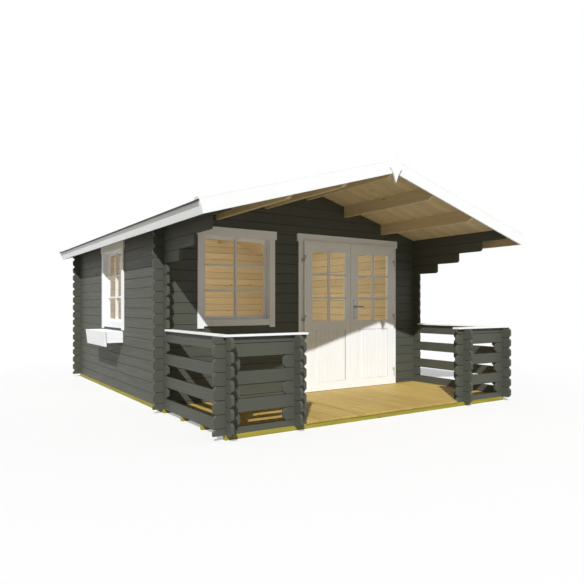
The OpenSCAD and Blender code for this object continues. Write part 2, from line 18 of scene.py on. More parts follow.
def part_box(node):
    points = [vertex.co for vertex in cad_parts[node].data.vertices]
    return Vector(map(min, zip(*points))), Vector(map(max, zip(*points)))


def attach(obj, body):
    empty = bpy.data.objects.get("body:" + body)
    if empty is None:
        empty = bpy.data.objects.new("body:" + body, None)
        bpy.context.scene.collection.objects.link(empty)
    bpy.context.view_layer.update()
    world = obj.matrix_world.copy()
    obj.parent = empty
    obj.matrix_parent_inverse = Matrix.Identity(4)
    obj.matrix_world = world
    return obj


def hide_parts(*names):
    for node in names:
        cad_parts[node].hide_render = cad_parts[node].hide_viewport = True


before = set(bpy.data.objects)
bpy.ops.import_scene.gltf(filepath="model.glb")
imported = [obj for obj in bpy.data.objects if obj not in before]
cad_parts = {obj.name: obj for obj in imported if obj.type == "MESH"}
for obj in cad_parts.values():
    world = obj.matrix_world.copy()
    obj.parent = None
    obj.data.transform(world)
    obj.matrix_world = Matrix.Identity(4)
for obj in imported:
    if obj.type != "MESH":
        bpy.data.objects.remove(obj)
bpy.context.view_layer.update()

log = logging.getLogger("cabin")

Colour = tuple[float, float, float]
BMesh = bmesh.types.BMesh
Socket = bpy.types.NodeSocket
Value = float | Socket
Triple = Colour | Socket

STATIC = "cabin"
SHARP = math.radians(30)
FLAT = math.radians(0.5)
MERGE = 1e-5


class Axis(Enum):
    """Direction in which a timber's grain runs."""

    X = 0
    Y = 1
    Z = 2


def srgb(red: int, green: int, blue: int) -> Colour:
    """Turns an 8-bit display colour into a linear one.

    Args:
        red: Red, 0 to 255.
        green: Green, 0 to 255.
        blue: Blue, 0 to 255.

    Returns:
        The linear colour.
    """

    def linear(value: int) -> float:
        """Returns one channel as linear light."""
        v = value / 255
        return v / 12.92 if v <= 0.04045 else ((v + 0.055) / 1.055) ** 2.4

    return linear(red), linear(green), linear(blue)


# ---- Mesh helpers ----


def merged_copy(node: str) -> BMesh:
    """Copies a node's mesh, with its loose triangles joined and its flat faces made whole.

    Args:
        node: Name of the node.

    Returns:
        A new bmesh, which the caller frees.
    """
    bm = bmesh.new()
    bm.from_mesh(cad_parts[node].data)
    bmesh.ops.remove_doubles(bm, verts=bm.verts, dist=MERGE)
    bmesh.ops.dissolve_limit(bm, angle_limit=FLAT, verts=bm.verts, edges=bm.edges)
    return bm


def soften(bm: BMesh, width: float, segments: int = 2, keep: Callable | None = None) -> None:
    """Rounds the outer arrises of a solid.

    Args:
        bm: The solid.
        width: How far the rounding reaches from the edge.
        segments: Faces across the rounding.
        keep: Test that an edge has to pass, or None for every sharp outer edge.
    """
    edges = [
        e for e in bm.edges
        if e.is_manifold and e.is_convex and e.calc_face_angle(0) > SHARP and (keep is None or keep(e))
    ]
    bmesh.ops.bevel(
        bm, geom=edges, offset=width, offset_type="OFFSET", segments=segments, profile=0.5,
        affect="EDGES", clamp_overlap=True, material=-1,
    )


def placed(name: str, data: bpy.types.ID) -> bpy.types.Object:
    """Adds an object to the scene.

    Args:
        name: Its name.
        data: Its mesh, lamp or camera.

    Returns:
        The object.
    """
    item = bpy.data.objects.new(name, data)
    bpy.context.scene.collection.objects.link(item)
    return item


def dress(node: str, finish: bpy.types.Material) -> None:
    """Gives a node its material.

    Args:
        node: The node.
        finish: The material.
    """
    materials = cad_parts[node].data.materials
    materials.clear()
    materials.append(finish)


def carve(bm: BMesh, point: Vector, away: Vector) -> None:
    """Cuts off what lies on one side of a plane and closes the cut.

    Args:
        bm: The solid.
        point: A point of the plane.
        away: Its normal, towards what goes.
    """
    cut = bmesh.ops.bisect_plane(
        bm, geom=[*bm.verts, *bm.edges, *bm.faces], plane_co=point, plane_no=away,
        clear_outer=True, dist=MERGE,
    )["geom_cut"]
    rim = [e for e in cut if isinstance(e, bmesh.types.BMEdge) and e.is_boundary]
    if rim:
        bmesh.ops.triangle_fill(bm, edges=rim, use_beauty=True, use_dissolve=True)
    bmesh.ops.recalc_face_normals(bm, faces=bm.faces)


def slice_off(bm: BMesh, axis: Axis, place: float, keep_above: bool) -> None:
    """Cuts a solid square to an axis and closes the cut.

    Args:
        bm: The solid.
        axis: The axis.
        place: Where the cut is along it.
        keep_above: True to keep what is past the cut.
    """
    point, away = Vector(), Vector()
    point[axis.value] = place
    away[axis.value] = -1 if keep_above else 1
    carve(bm, point, away)


class Work:
    """A piece in the making: closed solids in one mesh, each with a tone of its own."""

    def __init__(self) -> None:
        """Starts an empty piece."""
        self.bm = bmesh.new()
        self.bm.verts.layers.float.new("tone")

    def add(self, part: BMesh, tone: float = 0.5) -> None:
        """Adds a solid and frees it.

        Args:
            part: The solid.
            tone: Its tone, 0 to 1.
        """
        layer = part.verts.layers.float.get("tone") or part.verts.layers.float.new("tone")
        for vert in part.verts:
            vert[layer] = tone
        mesh = bpy.data.meshes.new("part")
        part.to_mesh(mesh)
        part.free()
        self.bm.from_mesh(mesh)
        bpy.data.meshes.remove(mesh)

    def plank(self, low: Sequence[float], high: Sequence[float], arris: float = 0.002,
              tone: float = 0.5) -> None:
        """Adds a straight board.

        Args:
            low: Its lowest corner.
            high: Its highest corner.
            arris: Rounding of its edges.
            tone: Its tone.
        """
        low, high = Vector(low), Vector(high)
        part = bmesh.new()
        place = Matrix.Translation((low + high) / 2) @ Matrix.Diagonal((*(high - low), 1))
        bmesh.ops.create_cube(part, size=1, matrix=place)
        soften(part, arris)
        self.add(part, tone)

    def prism(self, outline: Sequence[tuple[float, float]], y0: float, y1: float,
              arris: float = 0.002, tone: float = 0.5) -> None:
        """Adds an outline drawn in X and Z, extruded along Y.

        Args:
            outline: Its corners.
            y0: Front.
            y1: Back.
            arris: Rounding of its edges.
            tone: Its tone.
        """
        part = bmesh.new()
        face = part.faces.new([part.verts.new((x, y0, z)) for x, z in outline])
        moved = bmesh.ops.extrude_face_region(part, geom=[face])["geom"]
        verts = [v for v in moved if isinstance(v, bmesh.types.BMVert)]
        bmesh.ops.translate(part, verts=verts, vec=(0, y1 - y0, 0))
        bmesh.ops.recalc_face_normals(part, faces=part.faces)
        if arris:
            soften(part, arris)
        self.add(part, tone)

    def rod(self, start: Sequence[float], end: Sequence[float], radius: float, sides: int = 24,
            arris: float = 0.0) -> None:
        """Adds a round bar.

        Args:
            start: Middle of one end.
            end: Middle of the other.
            radius: Its radius.
            sides: Faces round it.
            arris: Rounding of its ends.
        """
        start, end = Vector(start), Vector(end)
        part = bmesh.new()
        bmesh.ops.create_cone(
            part, cap_ends=True, segments=sides, radius1=radius, radius2=radius,
            depth=(end - start).length,
            matrix=Matrix.Translation((start + end) / 2)
            @ (end - start).to_track_quat("Z", "Y").to_matrix().to_4x4(),
        )
        if arris:
            soften(part, arris)
        self.add(part)

    def finish(self, name: str, finishes: Sequence[bpy.types.Material], slot: str, body: str = STATIC,
               stands_for: Iterable[str] = (), place: Matrix | None = None,
               choose: Callable | None = None) -> bpy.types.Object:
        """Makes the piece an object and fixes it to its body.

        Args:
            name: The piece's name.
            finishes: Its materials.
            slot: Name of a finish slot; not used.
            body: The body that it rides on.
            stands_for: Nodes that it replaces.
            place: Where its own zero goes.
            choose: Gives a face's material by number, or None for the first.

        Returns:
            The object.
        """
        if place is not None:
            bmesh.ops.transform(self.bm, matrix=place, verts=self.bm.verts)
        if choose is not None:
            self.bm.normal_update()
            for face in self.bm.faces:
                face.material_index = choose(face)
        mesh = bpy.data.meshes.new(name)
        self.bm.to_mesh(mesh)
        self.bm.free()
        piece = placed(name, mesh)
        for finish in finishes:
            mesh.materials.append(finish)
        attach(piece, body)
        nodes = list(stands_for)
        if nodes:
            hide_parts(*nodes)
        log.info("%s: %d faces on %s", name, len(mesh.polygons), body)
        return piece


def softened(name: str, nodes: Sequence[str], finishes: Sequence[bpy.types.Material], slot: str,
             width: float = 0.0025, body: str = STATIC, choose: Callable | None = None,
             keep: Callable | None = None, segments: int = 2) -> bpy.types.Object:
    """Replaces nodes with one piece whose arrises are rounded.

    Args:
        name: The new piece's name.
        nodes: The nodes.
        finishes: Materials.
        slot: Name of a finish slot.
        width: Width of the rounding.
        body: The body that it rides on.
        choose: Gives a face's material by number.
        keep: Test for the edges to round.
        segments: Faces across the rounding.

    Returns:
        The new piece.
    """
    work = Work()
    for node in nodes:
        part = merged_copy(node)
        soften(part, width, segments, keep)
        work.add(part)
    return work.finish(name, finishes, slot, body, nodes, choose=choose)


def sawn(name: str, node: str, finishes: Sequence[bpy.types.Material], slot: str, axis: Axis,
         pitch: float, kerf: float, arris: float, seed: int) -> bpy.types.Object:
    """Replaces a slab with the boards that it is made of.

    Args:
        name: The new piece's name.
        node: The slab.
        finishes: Materials.
        slot: Name of a finish slot.
        axis: Axis across the boards.
        pitch: From one board to the next.
        kerf: Gap between two boards.
        arris: Rounding of their edges.
        seed: Seed of their tones.

    Returns:
        The new piece.
    """
    draw = random.Random(seed)
    low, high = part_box(node)
    start, end = low[axis.value], high[axis.value]
    count = max(1, round((end - start) / pitch))
    step = (end - start) / count
    work = Work()
    for i in range(count):
        board = merged_copy(node)
        if i:
            slice_off(board, axis, start + i * step + kerf / 2, True)
        if i < count - 1:
            slice_off(board, axis, start + (i + 1) * step - kerf / 2, False)
        soften(board, arris, 1)
        work.add(board, draw.random())
    return work.finish(name, finishes, slot, STATIC, [node])


# ---- Shader graphs ----


class Graph:
    """Short ways of adding nodes to a node tree."""

    def __init__(self, tree: bpy.types.NodeTree) -> None:
        """Takes the node tree of a material, a world or a group."""
        self.tree = tree

    def put(self, node: bpy.types.Node, inputs: dict) -> None:
        """Sets or links a node's inputs.

        Args:
            node: The node.
            inputs: Values or sockets, by the input's name or number.
        """
        for key, value in inputs.items():
            if isinstance(value, Socket):
                self.tree.links.new(value, node.inputs[key])
            else:
                node.inputs[key].default_value = value

    def add(self, kind: str, inputs: dict | None = None, **settings: object) -> bpy.types.Node:
        """Adds a node.

        Args:
            kind: Its type.
            inputs: Values or sockets for its inputs.
            **settings: Its properties.

        Returns:
            The node.
        """
        node = self.tree.nodes.new(kind)
        for key, value in settings.items():
            setattr(node, key, value)
        self.put(node, inputs or {})
        return node

    def use(self, group: bpy.types.NodeTree, **inputs: object) -> bpy.types.Node:
        """Adds a shared node group, with its inputs by name."""
        return self.add("ShaderNodeGroup", inputs, node_tree=group)

    def math(self, operation: str, a: Value, b: Value = 0.0) -> Socket:
        """Adds a Math node and returns its result."""
        return self.add("ShaderNodeMath", {0: a, 1: b}, operation=operation).outputs[0]

    def vector(self, operation: str, a: Triple, b: Triple) -> Socket:
        """Adds a Vector Math node and returns its vector."""
        return self.add("ShaderNodeVectorMath", {0: a, 1: b}, operation=operation).outputs[0]

    def noise(self, vector: Socket, scale: Value, detail: float, rough: float = 0.5) -> Socket:
        """Adds a Noise Texture.

        Args:
            vector: Where it is read.
            scale: Its scale.
            detail: Its detail.
            rough: Its roughness.

        Returns:
            The value.
        """
        settings = {"Vector": vector, "Scale": scale, "Detail": detail, "Roughness": rough}
        return self.add("ShaderNodeTexNoise", settings).outputs[0]

    def span(self, value: Value, low: Value, high: Value, to_low: float = 0.0,
             to_high: float = 1.0) -> Socket:
        """Adds a smooth Map Range.

        Args:
            value: What is mapped.
            low: Start of the span.
            high: End of the span.
            to_low: Result at the start.
            to_high: Result at the end.

        Returns:
            The result.
        """
        inputs = dict(enumerate((value, low, high, to_low, to_high)))
        return self.add("ShaderNodeMapRange", inputs, interpolation_type="SMOOTHSTEP").outputs[0]

    def mix(self, factor: Value, a: Triple, b: Triple, blend: str = "MIX") -> Socket:
        """Adds a colour Mix node.

        Args:
            factor: How much of the second colour.
            a: First colour or socket.
            b: Second colour or socket.
            blend: Blend mode.

        Returns:
            The colour.
        """
        node = self.add("ShaderNodeMix", data_type="RGBA", blend_type=blend)
        place = {socket.identifier: i for i, socket in enumerate(node.inputs)}
        first, second = ((*c, 1) if isinstance(c, tuple) else c for c in (a, b))
        self.put(node, {
            place["Factor_Float"]: factor, place["A_Color"]: first, place["B_Color"]: second})
        return next(s for s in node.outputs if s.identifier == "Result_Color")

    def bump(self, height: Socket, distance: float, strength: float) -> Socket:
        """Adds a Bump node.

        Args:
            height: The height.
            distance: Its depth.
            strength: How strongly it shows.

        Returns:
            The normal.
        """
        inputs = {"Height": height, "Distance": distance, "Strength": strength}
        return self.add("ShaderNodeBump", inputs).outputs[0]

    def seen(self) -> Socket:
        """Returns 1 where a surface is seen, straight, by reflection or through glass."""
        path = self.add("ShaderNodeLightPath").outputs
        direct = self.math("MAXIMUM", path["Is Camera Ray"], path["Is Glossy Ray"])
        return self.math("MAXIMUM", direct, path["Is Transmission Ray"])


class Effects:
    """Node groups that more than one finish uses, each built once.

    The stretches say how fast each pattern changes along and across the timber.
    """

    FIBRE = (5.0, 210.0, 210.0)
    FIGURE = (0.8, 24.0, 24.0)
    KNOTS = (4.5, 9.0, 9.0)
    RINGS = 40.0
    SHIFT = (31.7, 7.3, 3.1)

    def __init__(self) -> None:
        """Builds the groups."""
        self.grain = self._grain()
        self.mottle = self._mottle()
        self.inside = self._inside()
        self.joint = self._joint_shade()

    @staticmethod
    def _group(name: str, takes: dict[str, str], gives: dict[str, str]) -> tuple:
        """Starts a group.

        Args:
            name: Its name.
            takes: Input names with their kinds.
            gives: Output names with their kinds.

        Returns:
            Its graph, what it is given and its output node.
        """
        tree = bpy.data.node_groups.new(name, "ShaderNodeTree")
        for side, sockets in (("INPUT", takes), ("OUTPUT", gives)):
            for socket, kind in sockets.items():
                tree.interface.new_socket(socket, in_out=side, socket_type=f"NodeSocket{kind}")
        graph = Graph(tree)
        return graph, graph.add("NodeGroupInput").outputs, graph.add("NodeGroupOutput")

    def _grain(self) -> bpy.types.NodeTree:
        """Builds the grain of planed softwood, with X along the timber.

        Returns:
            The group.
        """
        g, given, out = self._group(
            "Softwood grain", {"Vector": "Vector", "Tone": "Float"},
            {"Streaks": "Float", "Knots": "Float", "Height": "Float"},
        )
        here = g.vector("ADD", given["Vector"], g.vector("MULTIPLY", given["Tone"], self.SHIFT))
        fibre = g.noise(g.vector("MULTIPLY", here, self.FIBRE), 1.0, 2.0)
        figure = g.noise(g.vector("MULTIPLY", here, self.FIGURE), 1.0, 2.0)
        rings = g.span(g.math("SINE", g.math("MULTIPLY", figure, self.RINGS)), -1.0, 1.0)
        broad = g.span(figure, 0.3, 0.7)
        streaks = g.math("ADD", g.math("MULTIPLY", rings, 0.4), g.math("MULTIPLY", broad, 0.3))
        streaks = g.math("ADD", streaks, g.math("MULTIPLY", fibre, 0.3))
        cells = g.add(
            "ShaderNodeTexVoronoi", {"Vector": g.vector("MULTIPLY", here, self.KNOTS), "Scale": 1.0},
        ).outputs
        near = g.span(cells["Distance"], 0.1, 0.045)
        chance = g.add("ShaderNodeSeparateColor", {0: cells["Color"]}).outputs[0]
        knots = g.math("MULTIPLY", near, g.span(chance, 0.45, 0.55))
        height = g.math("SUBTRACT", g.math("MULTIPLY", fibre, 0.6), g.math("MULTIPLY", rings, 0.25))
        g.put(out, {"Streaks": streaks, "Knots": knots, "Height": height})
        return g.tree

    def _mottle(self) -> bpy.types.NodeTree:
        """Builds broad uneven patches, 0 to 1, as of dust or a brushed coat.

        Returns:
            The group.
        """
        g, given, out = self._group(
            "Mottle", {"Vector": "Vector", "Scale": "Float"}, {"Value": "Float"}
        )
        patches = g.noise(given["Vector"], given["Scale"], 3.0, 0.55)
        g.put(out, {"Value": g.span(patches, 0.3, 0.7)})
        return g.tree

    def _inside(self) -> bpy.types.NodeTree:
        """Builds a test: 1 inside an upright box given by its middle and half its size, else 0.

        Returns:
            The group.
        """
        g, given, out = self._group(
            "Room", {"Vector": "Vector", "Middle": "Vector", "Half": "Vector"}, {"Value": "Float"}
        )
        away = g.vector("SUBTRACT", given["Vector"], given["Middle"])
        away = g.add("ShaderNodeVectorMath", {0: away}, operation="ABSOLUTE").outputs[0]
        room = g.add("ShaderNodeSeparateXYZ", {0: g.vector("SUBTRACT", given["Half"], away)})
        x, y, z = (g.math("GREATER_THAN", value, 0.0) for value in room.outputs)
        g.put(out, {"Value": g.math("MULTIPLY", g.math("MULTIPLY", x, y), z)})
        return g.tree

    def _joint_shade(self) -> bpy.types.NodeTree:
        """Builds a mask for painted shade: 1 in the open joint between two courses of logs, where
        shade falls, and 0 on the logs.

        Returns:
            The group.
        """
        g, given, out = self._group(
            "Log joint painted shade", {"Height": "Float", "First": "Float", "Course": "Float", "Half": "Float"},
            {"Value": "Float"},
        )
        above = g.math("SUBTRACT", given["Height"], given["First"])
        away = g.math("PINGPONG", above, g.math("MULTIPLY", given["Course"], 0.5))
        edge = g.math("MULTIPLY", given["Half"], 0.5)
        g.put(out, {"Value": g.span(away, given["Half"], edge)})
        return g.tree


@dataclass(frozen=True)
class Finish:
    """What every finish has: a name, a colour and how rough it is."""

    name: str
    colour: Colour
    rough: float = 0.6

    def build(self, effects: Effects) -> bpy.types.Material:
        """Makes the material.

        Args:
            effects: The shared node groups.

        Returns:
            The material.
        """
        material = bpy.data.materials.new(self.name)
        material.use_nodes = True
        material.diffuse_color = (*self.colour, 1)
        g = Graph(material.node_tree)
        where = g.add("ShaderNodeTexCoord").outputs["Object"]
        g.put(material.node_tree.nodes["Principled BSDF"], self.inputs(g, where, effects))
        return material

    def inputs(self, g: Graph, where: Socket, effects: Effects) -> dict[str, object]:
        """Gives the shader's inputs.

        Args:
            g: The material's graph.
            where: Its Object coordinates.
            effects: The shared node groups.

        Returns:
            Values or sockets by the input's name.
        """
        raise NotImplementedError

    def darker(self, share: float) -> Colour:
        """Returns the finish's colour times a number."""
        return tuple(channel * share for channel in self.colour)


@dataclass(frozen=True)
class Wood(Finish):
    """Bare or thinly coated softwood.

    Attributes:
        late: Colour of the dark part of its rings.
        knot: Colour of its knots.
        along: Direction of its grain.
        knots: Strength of the knots.
        bump: Depth of its grain.
        vary: How much one board differs from the next.
    """

    late: Colour = (0.3, 0.2, 0.1)
    knot: Colour = (0.12, 0.06, 0.02)
    along: Axis = Axis.Y
    knots: float = 1.0
    bump: float = 0.0006
    vary: float = 0.25

    def inputs(self, g: Graph, where: Socket, effects: Effects) -> dict[str, object]:
        """Gives the shader's inputs.

        Args:
            g: The material's graph.
            where: Its Object coordinates.
            effects: The shared node groups.

        Returns:
            Values or sockets by the input's name.
        """
        tone = g.add("ShaderNodeAttribute", attribute_name="tone").outputs["Fac"]
        colour, height, streaks = timber(g, effects, where, tone, self)
        return {
            "Base Color": colour,
            "Roughness": g.span(streaks, 0.0, 1.0, self.rough - 0.06, self.rough + 0.08),
            "Normal": g.bump(height, self.bump, 0.7),
            "Specular IOR Level": 0.35,
        }


TURN = {
    Axis.X: (0.0, 0.0, 0.0),
    Axis.Y: (0.0, 0.0, math.radians(-90)),
    Axis.Z: (0.0, math.radians(90), 0.0),
}


def timber(g: Graph, effects: Effects, where: Socket, tone: Value,
           wood: Wood) -> tuple[Socket, Socket, Socket]:
    """Adds the colour of bare timber to a graph.

    Args:
        g: The graph.
        effects: The shared node groups.
        where: Object coordinates.
        tone: The board's tone.
        wood: The wood.

    Returns:
        Its colour, height and streaks.
    """
    turned = g.add("ShaderNodeMapping", {"Vector": where, "Rotation": TURN[wood.along]}).outputs[0]
    grain = g.use(effects.grain, Vector=turned, Tone=tone).outputs
    colour = g.mix(grain["Streaks"], wood.colour, wood.late)
    colour = g.mix(g.math("MULTIPLY", grain["Knots"], wood.knots), colour, wood.knot)
    lift = g.span(tone, 0.0, 1.0, 1.0 - wood.vary, 1.0 + wood.vary * 0.4)
    shade = g.add("ShaderNodeCombineColor", {0: lift, 1: lift, 2: lift}).outputs[0]
    return g.mix(1.0, colour, shade, "MULTIPLY"), grain["Height"], grain["Streaks"]


@dataclass(frozen=True)
class StainedLogs(Finish):
    """Opaque stain on planed logs outside, their bare timber inside the room, and painted shade in the
    open joints between the logs.

    Attributes:
        along: Direction of the logs.
        course: Height of a course.
        first: Bottom of a whole course.
        joint: Half the width of the open joint between two logs.
        shadow: Colour in the joint.
        bare: The timber inside.
        room: Lowest and highest corner of the room, or None where every side is stained.
    """

    along: Axis = Axis.X
    course: float = 0.12
    first: float = 0.0
    joint: float = 0.003
    # shadow: Colour of the painted shade in the open joint.
    shadow: Colour = (0.004, 0.004, 0.003)
    bare: Wood | None = None
    room: tuple[Vector, Vector] | None = None

    def inputs(self, g: Graph, where: Socket, effects: Effects) -> dict[str, object]:
        """Gives the shader's inputs.

        Args:
            g: The material's graph.
            where: Its Object coordinates.
            effects: The shared node groups.

        Returns:
            Values or sockets by the input's name.
        """
        z = g.add("ShaderNodeSeparateXYZ", {0: where}).outputs[2]
        row = g.math("FLOOR", g.math("DIVIDE", g.math("SUBTRACT", z, self.first), self.course))
        tone = g.add("ShaderNodeTexWhiteNoise", {"W": row}, noise_dimensions="1D").outputs["Value"]
        wood = Wood("stain", self.colour, late=self.darker(0.93), knot=self.darker(0.88),
                    along=self.along, knots=0.4, vary=0.05)
        colour, height, streaks = timber(g, effects, where, tone, wood)
        patches = g.use(effects.mottle, Vector=where, Scale=1.3).outputs[0]
        colour = g.mix(g.math("MULTIPLY", patches, 0.15), colour, self.darker(1.12))
        if self.room is not None and self.bare is not None:
            low, high = self.room
            inside = g.use(effects.inside, Vector=where, Middle=tuple((low + high) / 2),
                           Half=tuple((high - low) / 2)).outputs[0]
            colour = g.mix(inside, colour, timber(g, effects, where, tone, self.bare)[0])
        joint = g.use(effects.joint, Height=z, First=self.first, Course=self.course,
                      Half=self.joint).outputs[0]
        return {
            # Painted shade: the joint mask turns the open joint between two logs near black.
            "Base Color": g.mix(g.math("MULTIPLY", joint, 0.85), colour, self.shadow),
            "Roughness": g.span(streaks, 0.0, 1.0, self.rough - 0.05, self.rough + 0.07),
            "Normal": g.bump(height, 0.0004, 0.4),
            "Specular IOR Level": 0.25,
        }


@dataclass(frozen=True)
class Paint(Finish):
    """Brushed satin paint on planed timber.

    Attributes:
        along: Direction of the brush marks.
        dust: Colour that gathers in it.
    """

    along: Axis = Axis.Z
    dust: Colour = (0.6, 0.58, 0.5)

    def inputs(self, g: Graph, where: Socket, effects: Effects) -> dict[str, object]:
        """Gives the shader's inputs.

        Args:
            g: The material's graph.
            where: Its Object coordinates.
            effects: The shared node groups.

        Returns:
            Values or sockets by the input's name.
        """
        turned = g.add("ShaderNodeMapping", {"Vector": where, "Rotation": TURN[self.along]}).outputs[0]
        grain = g.use(effects.grain, Vector=turned, Tone=0.0).outputs
        patches = g.use(effects.mottle, Vector=where, Scale=2.2).outputs[0]
        colour = g.mix(g.math("MULTIPLY", patches, 0.07), self.colour, self.dust)
        return {
            "Base Color": g.mix(g.math("MULTIPLY", grain["Streaks"], 0.04), colour, self.dust),
            "Roughness": g.span(grain["Streaks"], 0.0, 1.0, self.rough - 0.05, self.rough + 0.06),
            "Normal": g.bump(grain["Height"], 0.0003, 0.5),
        }


@dataclass(frozen=True)
class Felt(Finish):
    """Mineral roofing felt, rough with grit of its own colour."""

    grit: Colour = (0.09, 0.09, 0.09)

    def inputs(self, g: Graph, where: Socket, effects: Effects) -> dict[str, object]:
        """Gives the shader's inputs.

        Args:
            g: The material's graph.
            where: Its Object coordinates.
            effects: The shared node groups.

        Returns:
            Values or sockets by the input's name.
        """
        grains = g.add("ShaderNodeTexVoronoi", {"Vector": where, "Scale": 420.0})
        light = g.span(grains.outputs["Distance"], 0.15, 0.6)
        patches = g.use(effects.mottle, Vector=where, Scale=0.9).outputs[0]
        colour = g.mix(light, self.grit, self.colour)
        return {
            "Base Color": g.mix(g.math("MULTIPLY", patches, 0.35), colour, self.grit),
            "Roughness": g.span(light, 0.0, 1.0, self.rough - 0.08, self.rough),
            "Normal": g.bump(light, 0.0008, 0.8),
        }


@dataclass(frozen=True)
class Metal(Finish):
    """Satin metal with fine uneven wear."""

    metallic: float = 1.0

    def inputs(self, g: Graph, where: Socket, effects: Effects) -> dict[str, object]:
        """Gives the shader's inputs.

        Args:
            g: The material's graph.
            where: Its Object coordinates.
            effects: The shared node groups.

        Returns:
            Values or sockets by the input's name.
        """
        wear = g.use(effects.mottle, Vector=where, Scale=60.0).outputs[0]
        return {
            "Base Color": g.mix(wear, self.colour, self.darker(0.86)),
            "Roughness": g.span(wear, 0.0, 1.0, self.rough - 0.06, self.rough + 0.08),
            "Metallic": self.metallic,
        }


@dataclass(frozen=True)
class Glass(Finish):
    """Clear window glass that lets daylight into the room.

    Attributes:
        index: Its index of refraction, low so that the room shows through it.
    """

    index: float = 1.12

    def build(self, effects: Effects) -> bpy.types.Material:
        """Makes the material, which light passes straight through.

        Args:
            effects: The shared node groups.

        Returns:
            The material.
        """
        material = super().build(effects)
        g = Graph(material.node_tree)
        nodes = material.node_tree.nodes
        path = g.add("ShaderNodeLightPath").outputs
        through = g.math("MAXIMUM", path["Is Shadow Ray"], path["Is Diffuse Ray"])
        clear = g.add("ShaderNodeBsdfTransparent").outputs[0]
        mixed = g.add("ShaderNodeMixShader", {
            0: through, 1: nodes["Principled BSDF"].outputs[0], 2: clear})
        g.put(nodes["Material Output"], {"Surface": mixed.outputs[0]})
        return material

    def inputs(self, g: Graph, where: Socket, effects: Effects) -> dict[str, object]:
        """Gives the shader's inputs.

        Args:
            g: The material's graph.
            where: Its Object coordinates.
            effects: The shared node groups.

        Returns:
            Values or sockets by the input's name.
        """
        film = g.use(effects.mottle, Vector=where, Scale=3.0).outputs[0]
        return {
            "Base Color": (*self.colour, 1),
            "Transmission Weight": 1.0,
            "IOR": self.index,
            "Roughness": g.span(film, 0.0, 1.0, self.rough, self.rough + 0.02),
        }


WHITE = srgb(243, 245, 246)
BAR_WHITE = srgb(228, 231, 232)
STAIN = srgb(80, 82, 73)
PINE = srgb(222, 206, 170)
PINE_LATE = srgb(206, 184, 142)
PINE_KNOT = srgb(128, 90, 52)
DECK = srgb(192, 166, 96)
DECK_LATE = srgb(170, 141, 72)
DECK_KNOT = srgb(104, 72, 34)
TREATED = srgb(170, 162, 64)
TREATED_LATE = srgb(140, 130, 42)
TREATED_KNOT = srgb(96, 84, 26)


@dataclass
class Palette:
    """Every finish of the cabin, built once."""

    effects: Effects = field(default_factory=Effects)
    built: dict[str, bpy.types.Material] = field(default_factory=dict)

    def use(self, finish: Finish) -> bpy.types.Material:
        """Builds a finish, or finds it.

        Args:
            finish: The finish.

        Returns:
            Its material.
        """
        if finish.name not in self.built:
            self.built[finish.name] = finish.build(self.effects)
        return self.built[finish.name]

    def paint(self, along: Axis) -> bpy.types.Material:
        """White paint, brushed along an axis."""
        return self.use(Paint(f"white paint {along.name}", WHITE, 0.42, along=along))

    @property
    def bar_paint(self) -> bpy.types.Material:
        """Cool white of the glazing bars."""
        return self.use(Paint("bar paint", BAR_WHITE, 0.35, along=Axis.Z, dust=srgb(206, 208, 210)))

    def pine(self, along: Axis) -> bpy.types.Material:
        """Bare planed pine, its grain along an axis."""
        return self.use(self.bare_wood(along))

    @staticmethod
    def bare_wood(along: Axis) -> Wood:
        """The bare pine's finish, its grain along an axis."""
        return Wood(f"bare pine {along.name}", PINE, 0.62, late=PINE_LATE, knot=PINE_KNOT,
                    along=along, vary=0.1)

    def logs(self, along: Axis, first: float, course: float,
             room: tuple[Vector, Vector] | None = None) -> bpy.types.Material:
        """Stained logs.

        Args:
            along: Direction of the logs.
            first: Bottom of a whole course.
            course: Height of a course.
            room: Corners of the room that they face, if any.

        Returns:
            The material.
        """
        kind = "wall" if room else "open"
        return self.use(StainedLogs(
            f"stained logs {along.name} {kind}", STAIN, 0.55, along=along, course=course,
            first=first, bare=self.bare_wood(along), room=room,
        ))

    @property
    def deck(self) -> bpy.types.Material:
        """Honey-coloured terrace boards."""
        return self.use(Wood("terrace boards", DECK, 0.6, late=DECK_LATE, knot=DECK_KNOT, vary=0.12))

    def treated(self, along: Axis) -> bpy.types.Material:
        """Yellow-green treated timber, its grain along an axis."""
        return self.use(Wood(f"treated timber {along.name}", TREATED, 0.65, late=TREATED_LATE,
                             knot=TREATED_KNOT, along=along))

    @property
    def felt(self) -> bpy.types.Material:
        """Black roofing felt."""
        return self.use(Felt("roofing felt", srgb(44, 44, 46), 0.95))

    @property
    def steel(self) -> bpy.types.Material:
        """Satin steel of the door handle."""
        return self.use(Metal("satin steel", srgb(158, 158, 155), 0.36))

    @property
    def screw(self) -> bpy.types.Material:
        """Zinc screws in the terrace boards."""
        return self.use(Metal("zinc screws", srgb(140, 138, 130), 0.5))

    @property
    def hinge(self) -> bpy.types.Material:
        """Pale coated hinges."""
        return self.use(Metal("plated hinges", srgb(196, 196, 190), 0.45, metallic=0.1))

    @property
    def dark(self) -> bpy.types.Material:
        """Painted shade: the near-black face that stands in for the shade inside a keyhole."""
        return self.use(Metal("keyhole", srgb(20, 20, 20), 0.7, metallic=0.0))

    @property
    def glass(self) -> bpy.types.Material:
        """Clear glass."""
        return self.use(Glass("clear glass", (0.97, 0.985, 0.98), 0.0))


# ---- Sub-assemblies ----


